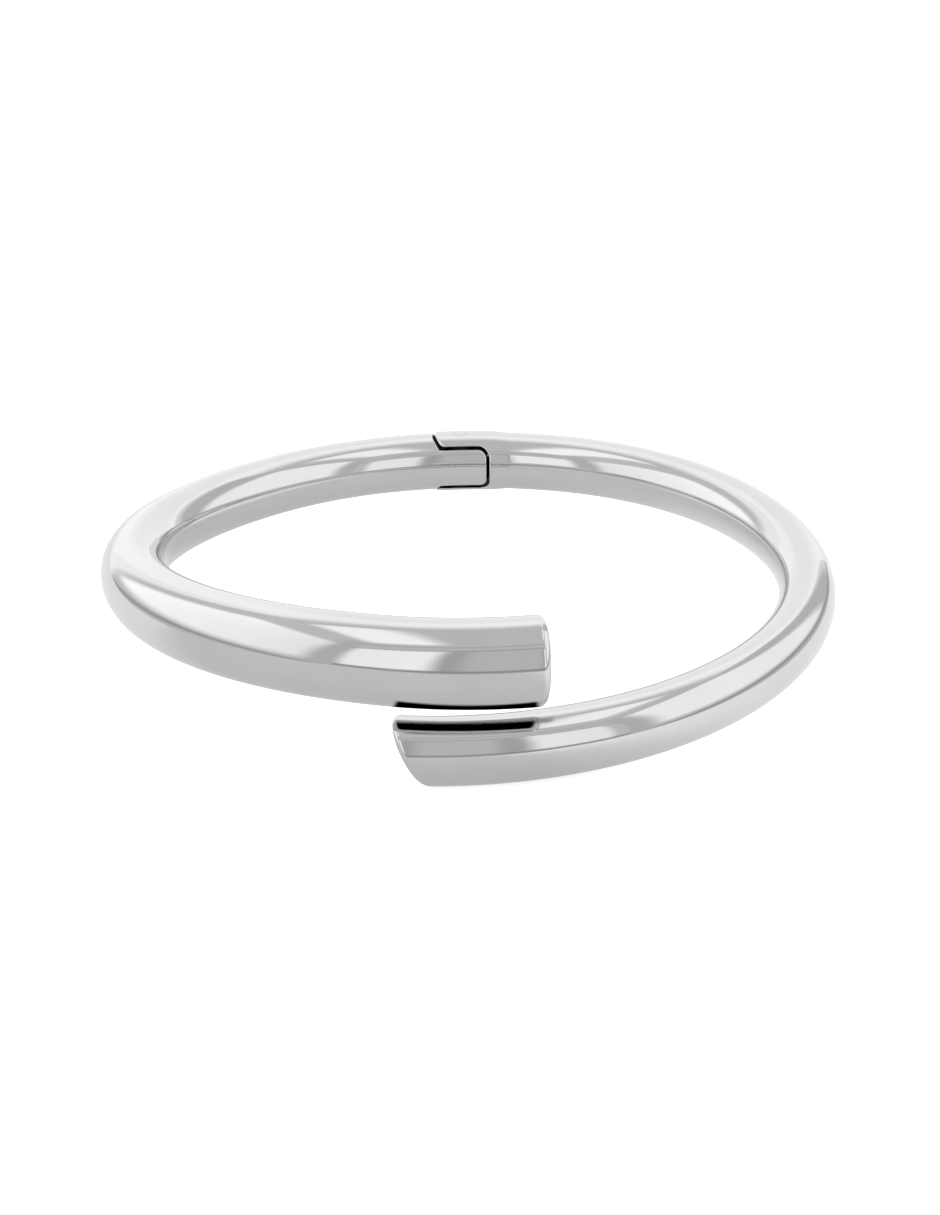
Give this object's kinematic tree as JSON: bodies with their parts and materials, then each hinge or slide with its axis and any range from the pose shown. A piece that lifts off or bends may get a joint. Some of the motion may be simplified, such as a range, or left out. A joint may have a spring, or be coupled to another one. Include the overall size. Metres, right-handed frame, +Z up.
{
  "type": "hinged bangle bracelet",
  "caption": "Hinged bypass bangle: tapered round arms pivot on a sprung pin at the back and cross one above the other at the front.",
  "frame": {"origin": "centre of the ring's centre line, in the plane of the hinge tubes", "axes": "+Z up along the hinge pin and through the wrist opening, +Y towards the hinge at the back, -Y towards the crossing ends, +X to the lower arm's side"},
  "size_m": [0.0694, 0.0606, 0.0166],
  "materials": {
    "polished_steel": "mirror polished",
    "plain_steel": "fine turned",
    "spring_wire": "drawn wire"
  },
  "bodies": {
    "lower_arm": {"lower_arm_tube": "polished_steel", "lower_end_cap": "polished_steel", "fork_block": "polished_steel", "hinge_pin": "polished_steel", "upper_spacer": "plain_steel", "lower_spacer": "plain_steel", "stop_pin": "plain_steel"},
    "upper_arm": {"upper_arm_tube": "polished_steel", "upper_end_cap": "polished_steel", "tongue_block": "polished_steel", "spring_cover": "plain_steel", "torsion_spring": "spring_wire"}
  },
  "joints": [
    {"name": "hinge_swing", "type": "hinge", "parent": "lower_arm", "child": "upper_arm", "pos_m": [-0.0007, 0.0268, 0], "axis": [0, 0, -1], "range_deg": [0, 50], "stiffness_Nm_per_rad": 0.005, "springref_deg": -91.67, "deforming": ["torsion_spring"]}
  ]
}
